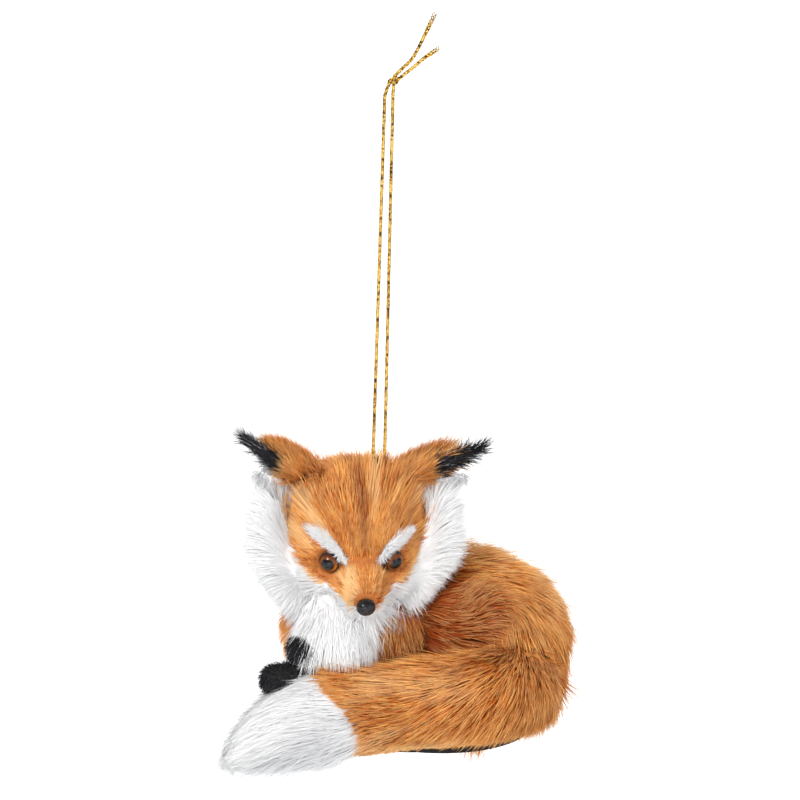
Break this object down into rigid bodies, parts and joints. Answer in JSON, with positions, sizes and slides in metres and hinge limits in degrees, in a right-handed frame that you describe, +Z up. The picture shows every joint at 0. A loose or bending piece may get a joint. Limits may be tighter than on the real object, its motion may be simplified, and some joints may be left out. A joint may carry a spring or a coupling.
{
  "type": "hanging ornament",
  "caption": "Curled fox figurine with long fur, black-tipped ears and a white-tipped tail wrapped round its front, hung by a loop of knotted metallic cord.",
  "frame": {"origin": "inside top of the cord's loop, under its knot, where a hook or a twig carries it", "axes": "+X to the right of someone facing the fox, +Y away from them, +Z up along the cord"},
  "size_m": [0.0849, 0.07, 0.1905],
  "materials": {
    "cord": "metallic twisted thread",
    "wire": "drawn wire",
    "peg": "plain dowel",
    "head_core": "moulded",
    "body_core": "moulded foam",
    "fur_rust": "long combed pile",
    "fur_white": "long combed pile",
    "fur_black": "tufted pile",
    "felt_black": "matte felt",
    "eye_amber": "clear gloss",
    "eye_black": "gloss",
    "nose": "gloss"
  },
  "bodies": {
    "cord": {"hanging_cord": "cord", "cord_end_upper": "cord", "cord_end_lower": "cord", "cord_knot": "cord"},
    "fox": {"hanging_eye": "wire", "tail_wire": "wire", "neck_peg": "peg", "sole": "felt_black", "body_form": "body_core", "head_form": "head_core", "body_pelt": "fur_rust", "tail_pelt": "fur_rust", "tail_brush": "fur_white", "head_pelt": "fur_rust", "muzzle_pelt": "fur_rust", "neck_ruff": "fur_rust", "cheek_left": "fur_white", "cheek_right": "fur_white", "chin": "fur_white", "bib": "fur_white", "brow_left": "fur_white", "brow_right": "fur_white", "ear_left": "fur_rust", "ear_right": "fur_rust", "ear_lining_left": "fur_white", "ear_lining_right": "fur_white", "ear_lock_left": "fur_black", "ear_lock_right": "fur_black", "front_paw_lower": "felt_black", "front_paw_upper": "felt_black", "eye_left": "eye_amber", "eye_right": "eye_amber", "eye_post_left": "eye_black", "eye_post_right": "eye_black", "nose": "nose"}
  },
  "joints": [
    {"name": "fox_swing", "type": "hinge", "parent": "cord", "child": "fox", "pos_m": [0, 0, -0.0978], "axis": [1, 0, 0], "range_deg": [-70, 70]}
  ]
}
